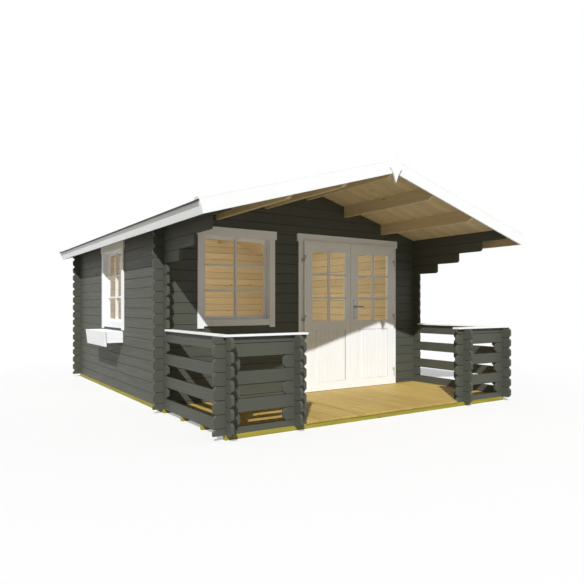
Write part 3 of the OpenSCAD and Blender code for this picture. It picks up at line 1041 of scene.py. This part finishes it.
@dataclass
class LogShell:
    """Walls, stepped logs and railings, with their arrises eased.

    Attributes:
        palette: The finishes.
        course: Height of a course of logs.
        thick: Thickness of a log.
        arris: Width of the bevel on a log's edges.
        groove: Depth of the V groove at a joint.
        overrun: How far a log runs on past a crossing.
    """

    palette: Palette
    course: float = 0.12
    thick: float = 0.028
    arris: float = 0.0025
    groove: float = 0.004
    overrun: float = 0.115

    def room(self) -> tuple[Vector, Vector]:
        """Returns the corners of the room, taken to the middle of its walls."""
        half = self.thick / 2
        left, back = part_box("left_wall"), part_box("back_wall")
        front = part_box("front_gable")
        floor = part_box("cabin_floor")
        low = Vector((floor[0].x - half, front[0].y + half, left[0].z - half))
        high = Vector((floor[1].x + half, back[1].y - half, back[1].z + 1.0))
        return low, high

    def build(self) -> None:
        """Builds and dresses every log node."""
        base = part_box("left_wall")[0].z
        room = self.room()
        half = self.course / 2
        side = self.palette.logs(Axis.Y, base, self.course, room)
        end = self.palette.logs(Axis.X, base - half, self.course, room)
        for node in ("left_wall", "right_wall"):
            self.logs(node, side)
        for node in ("back_wall", "front_wall_left", "front_wall_right", "front_gable"):
            self.logs(node, end)
        open_side = self.palette.logs(Axis.Y, base, self.course)
        open_end = self.palette.logs(Axis.X, base - half, self.course)
        for node in ("left_corbels", "right_corbels", "left_side_rail", "right_side_rail"):
            self.logs(node, open_side)
        for node in ("left_front_rail", "right_front_rail"):
            self.logs(node, open_end, open_side)

    def logs(self, node: str, finish: bpy.types.Material,
             post: bpy.types.Material | None = None) -> None:
        """Replaces a node of logs by one with eased arrises.

        Args:
            node: The node.
            finish: Its material.
            post: Material of a gate post's crossing logs, or None.
        """
        low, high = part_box(node)
        inner = high.x if high.x < 0 else low.x
        gate = inner + math.copysign(self.overrun + self.thick / 2, inner)

        def on_post(face: bmesh.types.BMFace) -> int:
            """Tells whether a face belongs to the gate post's crossing logs."""
            near = abs(face.calc_center_median().x - gate) < self.thick / 2 + self.groove
            return int(near and abs(face.normal.x) > 0.5)

        part = merged_copy(node)
        soften(part, self.arris, 1, self.outer_edge)
        work = Work()
        work.add(part)
        finishes = [finish, post] if post else [finish]
        work.finish(f"{node}_logs", finishes, "log_paint", STATIC, [node],
                    choose=on_post if post else None)

    def outer_edge(self, edge: bmesh.types.BMEdge) -> bool:
        """Tells whether an edge is an arris of a log and not the lip of a groove."""
        if edge.calc_length() < 4 * self.arris:
            return False
        depth = self.groove * 1.5
        return all(abs(f.normal.z) < 0.6 or f.calc_area() > edge.calc_length() * depth
                   for f in edge.link_faces)


@dataclass
class Floors:
    """Beams, joists and floor boards.

    Attributes:
        palette: The finishes.
        board: From one floor board to the next.
        kerf: Gap between two terrace boards.
        screw_r: Radius of a screw's head.
        screw_in: A screw's distance from its board's edge.
        nose: How far the terrace boards stand out past the front beam.
        beam_w: Width of a beam.
        pitch: From one joist to the next.
        rows: Rows of screws.
    """

    palette: Palette
    board: float = 0.096
    kerf: float = 0.003
    screw_r: float = 0.004
    screw_in: float = 0.022
    nose: float = 0.010
    beam_w: float = 0.045
    pitch: float = 0.478
    rows: int = 3

    def build(self) -> None:
        """Builds the floors."""
        softened("side_beam_timbers", ["side_beams"], [self.palette.treated(Axis.Y)],
                 "treated_timber", 0.002)
        softened("joist_timbers", ["floor_joists"], [self.palette.treated(Axis.X)],
                 "treated_timber", 0.002)
        sawn("terrace_boards", "terrace_floor", [self.palette.deck], "deck_boards", Axis.X,
             self.board, self.kerf, 0.002, 11)
        sawn("cabin_floor_boards", "cabin_floor", [self.palette.pine(Axis.Y)], "bare_pine", Axis.X,
             self.board, 0.0008, 0.001, 12)
        self.screws()

    def screws(self) -> None:
        """Sets two screws in each terrace board over each joist."""
        low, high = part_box("terrace_floor")
        count = round((high.x - low.x) / self.board)
        step = (high.x - low.x) / count
        work = Work()
        for row in range(self.rows):
            y = low.y + self.nose + row * self.pitch + self.beam_w / 2
            for i in range(count):
                for x in (low.x + i * step + self.screw_in, low.x + (i + 1) * step - self.screw_in):
                    work.rod((x, y, high.z - 0.001), (x, y, high.z + 0.0004), self.screw_r, 10)
        work.finish("terrace_screws", [self.palette.screw], "hinge_metal")


@dataclass
class Roof:
    """Purlins, roof boards, felt and the white boards round the roof's edge.

    Attributes:
        palette: The finishes.
        board: From one roof board to the next.
        course: Width of a strip of felt that shows.
        lap: Thickness at a strip's lower edge.
        under: Distance of a strip's hidden edge from the strip before it.
        last: Least width of the lowest strip.
        strip: Distance of the strips' ends from the verge.
        pitch: Slope of the roof, in radians.
        drip: How far the felt hangs down over the eaves.
        drip_t: Thickness of the felt there.
    """

    palette: Palette
    board: float = 0.096
    course: float = 0.62
    lap: float = 0.0035
    under: float = 0.02
    last: float = 0.15
    strip: float = 0.09
    pitch: float = math.radians(16)
    drip: float = 0.014
    drip_t: float = 0.003

    def build(self) -> None:
        """Builds the roof."""
        softened("purlin_timbers", ["purlins"], [self.palette.pine(Axis.Y)], "bare_pine", 0.003)
        for side, seed in (("left", 21), ("right", 22)):
            node = f"roof_boards_{side}"
            sawn(f"{node}_laid", node, [self.palette.pine(Axis.X)], "bare_pine", Axis.Y,
                 self.board, 0.001, 0.003, seed)
        paint_x, paint_y = self.palette.paint(Axis.X), self.palette.paint(Axis.Y)
        bare = self.palette.pine(Axis.Y)
        softened("eave_board_timbers", ["eave_boards"], [paint_y, bare], "white_paint", 0.002,
                 choose=lambda f: int(f.normal.x * f.calc_center_median().x < 0 and
                                      abs(f.normal.x) > 0.6))
        softened("bargeboard_timbers", ["bargeboards"], [paint_x], "white_paint", 0.002)
        softened("verge_strip_timbers", ["verge_strips"], [paint_x], "white_paint", 0.002)
        softened("ridge_diamonds", ["finials"], [self.palette.paint(Axis.Z)], "white_paint", 0.002)
        self.dress_felt()

    def dress_felt(self) -> None:
        """Gives the felt its grit, and lays the laps between its strips over it."""
        dress("roof_felt", self.palette.felt)
        low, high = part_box("roof_felt")
        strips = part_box("verge_strips")
        y0, y1 = strips[0].y + self.strip, strips[1].y - self.strip
        half = high.x
        work = Work()
        length = half / math.cos(self.pitch)
        for side in (-1, 1):
            s = self.course
            while s < length - self.last:
                points = []
                for along, up in ((s - self.course + self.under, 0.0), (s, 0.0), (s, self.lap)):
                    x = along * math.cos(self.pitch) + up * math.sin(self.pitch)
                    z = high.z - along * math.sin(self.pitch) + up * math.cos(self.pitch)
                    points.append((side * x, z))
                work.prism(points, y0, y1, 0.0)
                s += self.course
        for side in (-1, 1):
            xs = sorted((side * half, side * (half + self.drip_t)))
            work.plank((xs[0], low.y, low.z - self.drip), (xs[1], high.y, low.z + 0.004), 0.0008)
        work.finish("felt_laps", [self.palette.felt], "roof_felt")


def lattice(work: Work, box: tuple[float, float, float, float], y0: float, y1: float, width: float,
            lap: float) -> None:
    """Adds one upright and two level glazing bars, with pointed ends where they lap over the sash.

    Args:
        work: The piece.
        box: Left, right, bottom and top of the glass.
        y0: Front of the bars.
        y1: Their back.
        width: Their width.
        lap: How far the points reach past the glass.
    """
    left, right, low, high = box
    middle, w = (left + right) / 2, width / 2
    work.prism(((middle - w, low), (middle, low - lap), (middle + w, low), (middle + w, high),
                (middle, high + lap), (middle - w, high)) if lap else
               ((middle - w, low), (middle + w, low), (middle + w, high), (middle - w, high)),
               y0, y1, 0.002)
    for i in (1, 2):
        z = low + (high - low) * i / 3
        for start, end in ((middle - w, left), (middle + w, right)):
            tip = end + math.copysign(lap, end - start)
            outline = [(start, z - w), (end, z - w), (tip, z), (end, z + w), (start, z + w)]
            if not lap:
                del outline[2]
            work.prism(outline, y0, y1, 0.002)


@dataclass
class Window:
    """A window: boards round it, frame, sash, glazing bars and glass.

    Attributes:
        palette: The finishes.
        name: Start of its nodes' names.
        turn: Angle of its wall about the upright axis.
        trim_w: Width of the boards round it.
        trim_t: Their thickness.
        foot: How far the upright boards reach below the board under the glass.
        lap: How far the boards lap over the sides of the opening.
        sill: How far the boards under and over it lap over the opening.
        head_w: Height of the head board.
        head_lap: How far it runs past the upright ones.
        proud: How much thicker the head board is.
        clear: Gap between the frame and the opening.
        frame_w: Width of the frame's sides.
        frame_d: Depth of the frame.
        sash_w: Width of the sash's sides.
        sash_t: Thickness of the sash.
        sash_in: Face of the sash behind the outside of the wall.
        wall: Thickness of the wall.
        bar_w: Width of a glazing bar.
        bar_out: How far the bars stand out in front of the sash.
        bar_lap: How far their pointed ends lap over the sash.
        glass_off: Distance of their backs from the middle of the glass.
        arris: Rounding of the edges.
    """

    palette: Palette
    name: str
    turn: float
    trim_w: float = 0.076
    trim_t: float = 0.020
    foot: float = 0.047
    lap: float = 0.045
    sill: float = 0.053
    head_w: float = 0.098
    head_lap: float = 0.022
    proud: float = 0.006
    clear: float = 0.003
    frame_w: float = 0.052
    frame_d: float = 0.075
    sash_w: float = 0.034
    sash_t: float = 0.024
    sash_in: float = 0.048
    wall: float = 0.028
    bar_w: float = 0.024
    bar_out: float = 0.014
    bar_lap: float = 0.026
    glass_off: float = 0.002
    arris: float = 0.002

    def __post_init__(self) -> None:
        """Takes the opening's place and size from the frame node."""
        low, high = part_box(f"{self.name}_frame")
        across = (high - low).y if self.turn else (high - low).x
        self.half = across / 2 + self.clear
        self.height = high.z - low.z + 2 * self.clear
        middle = (low + high) / 2
        outside = Vector((low.x, middle.y, 0)) if self.turn else Vector((middle.x, low.y, 0))
        outside.z = low.z - self.clear
        self.place = Matrix.Translation(outside) @ Matrix.Rotation(self.turn, 4, "Z")

    def build(self) -> None:
        """Builds every part of the window."""
        self.boards()
        self.ring(f"{self.name}_frame_timbers", f"{self.name}_frame", self.clear, self.frame_w,
                  0.0, self.frame_d)
        self.ring(f"{self.name}_sash_timbers", f"{self.name}_sash", self.clear + self.frame_w,
                  self.sash_w, self.sash_in, self.sash_in + self.sash_t)
        self.bars()
        dress(f"{self.name}_glass", self.palette.glass)

    def boards(self) -> None:
        """Builds the boards round the frame, outside and inside."""
        inner = self.half - self.lap
        outer = inner + self.trim_w
        top = self.height - self.sill
        work = Work()
        for side in (-1, 1):
            xs = sorted((side * inner, side * outer))
            work.plank((xs[0], -self.trim_t, -self.foot), (xs[1], 0, top), self.arris)
        work.plank((-inner, -self.trim_t, self.sill - self.trim_w), (inner, 0, self.sill), self.arris)
        far = outer + self.head_lap
        work.plank((-far, -self.trim_t - self.proud, top), (far, 0, top + self.head_w), self.arris)
        edge = self.half - self.clear
        for x0, x1, z0, z1 in (
            (-edge - self.trim_w, -edge, self.clear - self.trim_w, self.height - self.clear),
            (edge, edge + self.trim_w, self.clear - self.trim_w, self.height - self.clear),
            (-edge, edge, self.clear - self.trim_w, self.clear),
            (-edge - self.trim_w, edge + self.trim_w, self.height - self.clear,
             self.height - self.clear + self.trim_w),
        ):
            work.plank((x0, self.wall, z0), (x1, self.wall + self.trim_t, z1), self.arris)
        work.finish(f"{self.name}_boards", [self.palette.paint(Axis.Z)], "white_paint", STATIC,
                    [f"{self.name}_trim"], self.place)

    def ring(self, name: str, node: str, inset: float, width: float, y0: float, y1: float) -> None:
        """Builds a mitred ring of four timbers.

        Args:
            name: The piece's name.
            node: The node that it replaces.
            inset: From the opening's edge to the ring's outside.
            width: Width of its timbers.
            y0: Front.
            y1: Back.
        """
        a, b = self.half - inset, self.half - inset - width
        lo, hi = inset, self.height - inset
        work = Work()
        for outline in (
            ((-a, lo), (a, lo), (b, lo + width), (-b, lo + width)),
            ((-a, hi), (-b, hi - width), (b, hi - width), (a, hi)),
            ((-a, lo), (-b, lo + width), (-b, hi - width), (-a, hi)),
            ((a, lo), (a, hi), (b, hi - width), (b, lo + width)),
        ):
            work.prism(outline, y0, y1, 0.001)
        work.finish(name, [self.palette.paint(Axis.Z)], "white_paint", STATIC, [node], self.place)

    def bars(self) -> None:
        """Builds the glazing bars on both sides of the glass."""
        inset = self.clear + self.frame_w + self.sash_w
        box = (-self.half + inset, self.half - inset, inset, self.height - inset)
        middle = self.sash_in + self.sash_t / 2
        work = Work()
        lattice(work, box, self.sash_in - self.bar_out, middle - self.glass_off, self.bar_w,
                self.bar_lap)
        lattice(work, box, middle + self.glass_off, self.sash_in + self.sash_t, self.bar_w, 0.0)
        work.finish(f"{self.name}_bars", [self.palette.bar_paint], "white_paint", place=self.place)


@dataclass
class Door:
    """Double door: boards round it, frame, leaves and hinges.

    Attributes:
        palette: The finishes.
        foot: Height of a leaf's bottom rail.
        mid: Height of the rail over the panel.
        board: Width of a panel board.
        arris: Bevel of the timbers.
        groove: Bevel of the panel boards.
        bar_w: Width of a glazing bar.
        bar_out: How far the bars stand out in front of the leaf.
        bar_lap: How far their pointed ends lap over the leaf.
    """

    palette: Palette
    foot: float = 0.109
    mid: float = 0.119
    board: float = 0.066
    arris: float = 0.0012
    groove: float = 0.004
    bar_w: float = 0.024
    bar_out: float = 0.004
    bar_lap: float = 0.018

    def build(self) -> None:
        """Builds the door."""
        self.surround()
        for side in ("left", "right"):
            self.leaf(side)
            self.bars(side)
            dress(f"{side}_door_glass", self.palette.glass)
            dress(f"{side}_leaf_hinges", self.palette.hinge)
        dress("frame_hinges", self.palette.hinge)
        Handle(self.palette).build()

    def surround(self) -> None:
        """Builds the frame and the boards round it."""
        paint = self.palette.paint(Axis.Z)
        softened("door_frame_timbers", ["door_frame"], [paint], "white_paint", 0.002)
        softened("door_boards", ["door_trim"], [paint], "white_paint", 0.002)

    def leaf(self, side: str) -> None:
        """Builds one leaf from mitred timbers and panel boards, all cut out of its node.

        Args:
            side: left or right.
        """
        node = f"{side}_door_leaf"
        low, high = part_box(node)
        glass_low, glass_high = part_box(f"{side}_door_glass")
        g0, g1, head = glass_low.x, glass_high.x, glass_high.z
        foot, rail = low.z + self.foot, glass_low.z - self.mid

        def past(x: float, z: float, nx: float, nz: float) -> tuple[Vector, Vector]:
            """Returns an upright or sloping plane through a point of the leaf's face."""
            return Vector((x, 0, z)), Vector((nx, 0, nz)).normalized()

        left_foot = (low.x, low.z, low.z - foot, g0 - low.x)
        right_foot = (high.x, low.z, foot - low.z, high.x - g1)
        left_head = (low.x, high.z, high.z - head, g0 - low.x)
        right_head = (high.x, high.z, head - high.z, high.x - g1)

        def flip(plane: tuple[float, float, float, float]) -> tuple[float, float, float, float]:
            """Returns the plane with its normal turned round."""
            return plane[0], plane[1], -plane[2], -plane[3]

        timbers = [
            ((g0, foot, 0, 1), left_foot, right_foot),
            ((g0, head, 0, -1), flip(left_head), flip(right_head)),
            ((g0, foot, 1, 0), flip(left_foot), left_head),
            ((g1, foot, -1, 0), flip(right_foot), right_head),
            ((g0, rail, 0, -1), (g0, glass_low.z, 0, 1), (g0, rail, -1, 0), (g1, rail, 1, 0)),
        ]
        count = round((g1 - g0) / self.board)
        step = (g1 - g0) / count
        boards = [
            ((g0 + i * step, foot, -1, 0), (g0 + (i + 1) * step, foot, 1, 0),
             (g0, foot, 0, -1), (g0, rail, 0, 1))
            for i in range(count)
        ]
        work = Work()
        for group, arris in ((timbers, self.arris), (boards, self.groove)):
            for planes in group:
                part = merged_copy(node)
                for plane in planes:
                    carve(part, *past(*plane))
                soften(part, arris, 1)
                work.add(part)
        work.finish(f"{side}_leaf_timbers", [self.palette.paint(Axis.Z)], "white_paint",
                    f"{side}_door", [node])

    def bars(self, side: str) -> None:
        """Builds a leaf's glazing bars, on both sides of its glass.

        Args:
            side: left or right.
        """
        low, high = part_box(f"{side}_door_glass")
        leaf_low, leaf_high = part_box(f"{side}_door_leaf")
        box = (low.x, high.x, low.z, high.z)
        work = Work()
        lattice(work, box, leaf_low.y - self.bar_out, low.y, self.bar_w, self.bar_lap)
        lattice(work, box, high.y, leaf_high.y - 0.006, self.bar_w, 0.0)
        work.finish(f"{side}_door_bars", [self.palette.bar_paint], "white_paint", f"{side}_door")


@dataclass
class Handle:
    """Plates, levers, keyholes and screws on both faces of the right leaf, with each keyhole a
    near-black face of painted shade.

    Attributes:
        palette: The finishes.
        plate_w: Width of a plate.
        plate_t: Its thickness.
        lever_at: Height of the lever as a share of the plate.
        hole_at: Height of the keyhole as a share of the plate.
        rose_r: Radius of the rose round the lever's shaft.
        rose_out: How far the rose stands out.
        shaft_r: Radius of the shaft.
        shaft_out: How far the shaft stands out.
        lever_r: Radius of the lever.
        lever_out: Middle of the lever in front of the leaf.
        screw_r: Radius of a screw.
        screw_in: Its distance from the plate's end.
        screw_out: How far it stands out of the plate.
        hole_r: Radius of the keyhole.
        slot_w: Width of its slot.
        slot_h: Its height.
        hole_out: How far its face of painted shade lies over the plate.
    """

    palette: Palette
    plate_w: float = 0.046
    plate_t: float = 0.004
    lever_at: float = 0.64
    hole_at: float = 0.28
    rose_r: float = 0.0135
    rose_out: float = 0.014
    shaft_r: float = 0.0075
    shaft_out: float = 0.050
    lever_r: float = 0.0085
    lever_out: float = 0.045
    screw_r: float = 0.005
    screw_in: float = 0.018
    screw_out: float = 0.0012
    hole_r: float = 0.0055
    slot_w: float = 0.0044
    slot_h: float = 0.018
    hole_out: float = 0.0006

    def build(self) -> None:
        """Builds the handle."""
        low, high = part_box("door_handle")
        leaf_low, leaf_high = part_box("right_door_leaf")
        x = low.x + self.plate_w / 2
        lever_z = low.z + self.lever_at * (high.z - low.z)
        hole_z = low.z + self.hole_at * (high.z - low.z)
        work, keyhole_shades = Work(), Work()
        for face, out in ((leaf_low.y, -1), (leaf_high.y, 1)):
            ys = sorted((face, face + out * self.plate_t))
            work.plank((low.x, ys[0], low.z), (low.x + self.plate_w, ys[1], high.z), 0.0018)
            for far, radius, sides in ((self.rose_out, self.rose_r, 28),
                                       (self.shaft_out, self.shaft_r, 24)):
                work.rod((x, face, lever_z), (x, face + out * far, lever_z), radius, sides, 0.001)
            y = face + out * self.lever_out
            work.rod((x, y, lever_z), (high.x - 0.008, y, lever_z), self.lever_r, 24, 0.003)
            for z in (low.z + self.screw_in, high.z - self.screw_in):
                work.rod((x, face, z), (x, face + out * (self.plate_t + self.screw_out), z),
                         self.screw_r, 16, 0.0006)
            # Each keyhole is a near-black disc and slot laid on the plate: painted shade where the
            # hole would be.
            dark = face + out * (self.plate_t + self.hole_out)
            keyhole_shades.rod((x, face, hole_z), (x, dark, hole_z), self.hole_r, 20)
            ys = sorted((face, dark))
            keyhole_shades.plank((x - self.slot_w / 2, ys[0], hole_z - self.slot_h),
                        (x + self.slot_w / 2, ys[1], hole_z), 0.0002)
        work.finish("door_handle_set", [self.palette.steel], "steel", "right_door", ["door_handle"])
        keyhole_shades.finish("keyholes", [self.palette.dark], "steel", "right_door")


@dataclass
class Trims:
    """Rail caps and the window box.

    Attributes:
        palette: The finishes.
        arris: Rounding of their edges.
        gap: Half the joint between the box's two courses of boards.
    """

    palette: Palette
    arris: float = 0.002
    gap: float = 0.0006

    def build(self) -> None:
        """Builds the caps and the window box."""
        softened("side_cap_boards", ["side_rail_caps"], [self.palette.paint(Axis.Y)],
                 "white_paint", self.arris)
        softened("front_cap_boards", ["front_rail_caps"], [self.palette.paint(Axis.X)],
                 "white_paint", self.arris)
        low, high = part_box("window_box")
        middle = (low.z + high.z) / 2
        work = Work()
        for above in (False, True):
            part = merged_copy("window_box")
            slice_off(part, Axis.Z, middle + (self.gap if above else -self.gap), above)
            soften(part, self.arris, 1)
            work.add(part)
        work.finish("window_box_boards", [self.palette.paint(Axis.Y)], "white_paint", STATIC,
                    ["window_box"])


# ---- Studio ----


@dataclass(frozen=True)
class Studio:
    """Floor, light and camera.

    Attributes:
        eye: The camera's place.
        heading: Its turn to the right from straight back, in degrees.
        lens: Focal length in millimetres.
        shift: Upward shift of its view.
        sun_along: Direction in which the key light travels.
        sun_power: Its strength.
        sun_size: The angle that it takes up in the sky, in degrees.
        sky: Strength of the light from all round.
        room_power: Power of the lamp in the room.
        room_size: Its radius.
        room_at: Its place.
        pale: Colour of the floor as it is seen.
        bounce: Colour of the light that it throws back.
        lift: How far it is whitened where it is seen.
        near: Distance at which it starts to fade to white.
        far: Distance at which it is white.
        reach: Half its width.
    """

    eye: tuple[float, float, float] = (-4.048, -6.9635, 1.1507)
    heading: float = 33.434
    lens: float = 34.504
    shift: float = 0.02387
    sun_along: tuple[float, float, float] = (1.25, 1.56, -1.63)
    sun_power: float = 4.2
    sun_size: float = 0.8
    sky: float = 0.2
    room_power: float = 48.0
    room_size: float = 0.35
    room_at: tuple[float, float, float] = (0.0, 0.6, 1.5)
    pale: Colour = (0.56, 0.56, 0.56)
    bounce: Colour = (0.4, 0.395, 0.36)
    lift: float = 0.38
    near: float = 3.0
    far: float = 7.0
    reach: float = 60.0

    def build(self) -> None:
        """Sets up the scene round the cabin."""
        bpy.context.scene.view_settings.view_transform = "Standard"
        self.camera()
        self.lamps()
        self.sky_light()
        self.floor()

    def camera(self) -> None:
        """Adds the camera."""
        data = bpy.data.cameras.new("camera")
        data.sensor_width = 36
        data.lens = self.lens
        data.shift_y = self.shift
        data.clip_end = 200
        camera = placed("camera", data)
        camera.location = self.eye
        camera.rotation_euler = (math.radians(90), 0, -math.radians(self.heading))
        bpy.context.scene.camera = camera

    def lamps(self) -> None:
        """Adds a soft key light and a soft light in the room."""
        data = bpy.data.lights.new("key", "SUN")
        data.energy = self.sun_power
        data.angle = math.radians(self.sun_size)
        sun = placed("key", data)
        sun.rotation_euler = Vector(self.sun_along).to_track_quat("-Z", "Y").to_euler()
        data = bpy.data.lights.new("room", "POINT")
        data.energy = self.room_power
        data.shadow_soft_size = self.room_size
        room = placed("room", data)
        room.location = self.room_at
        room.visible_camera = room.visible_glossy = room.visible_transmission = False

    def sky_light(self) -> None:
        """Adds even light from all round, white where it is seen."""
        world = bpy.data.worlds.new("studio")
        world.use_nodes = True
        bpy.context.scene.world = world
        g = Graph(world.node_tree)
        strength = g.math("ADD", g.math("MULTIPLY", g.seen(), 1 - self.sky), self.sky)
        g.put(world.node_tree.nodes["Background"], {"Color": (1, 1, 1, 1), "Strength": strength})

    def floor(self) -> None:
        """Adds a pale floor that fades to white away from the cabin."""
        bm = bmesh.new()
        bmesh.ops.create_grid(bm, x_segments=1, y_segments=1, size=self.reach)
        mesh = bpy.data.meshes.new("floor")
        bm.to_mesh(mesh)
        bm.free()
        placed("floor", mesh)
        material = bpy.data.materials.new("pale floor")
        material.use_nodes = True
        nodes = material.node_tree.nodes
        g = Graph(material.node_tree)
        seen = g.seen()
        shader = nodes["Principled BSDF"]
        g.put(shader, {
            "Base Color": g.mix(seen, self.bounce, self.pale),
            "Roughness": 0.9,
            "Specular IOR Level": 0.1,
            "Emission Color": g.mix(seen, (0, 0, 0), (1, 1, 1)),
            "Emission Strength": self.lift,
        })
        where = g.add("ShaderNodeTexCoord").outputs["Object"]
        away = g.add("ShaderNodeVectorMath", {0: where}, operation="LENGTH").outputs["Value"]
        fade = g.math("MULTIPLY", g.span(away, self.near, self.far), seen)
        white = g.add("ShaderNodeEmission", {"Color": (1, 1, 1, 1), "Strength": 1.0})
        mixed = g.add("ShaderNodeMixShader", {0: fade, 1: shader.outputs[0], 2: white.outputs[0]})
        g.put(nodes["Material Output"], {"Surface": mixed.outputs[0]})
        mesh.materials.append(material)


def main() -> None:
    """Builds the whole scene."""
    logging.basicConfig(level=logging.INFO, format="%(name)s: %(message)s")
    Studio().build()
    palette = Palette()
    LogShell(palette).build()
    Floors(palette).build()
    Roof(palette).build()
    for name, turn in (("front_window", 0.0), ("side_window", math.radians(-90))):
        Window(palette, name, turn).build()
    Door(palette).build()
    Trims(palette).build()


if __name__ == "__main__":
    main()
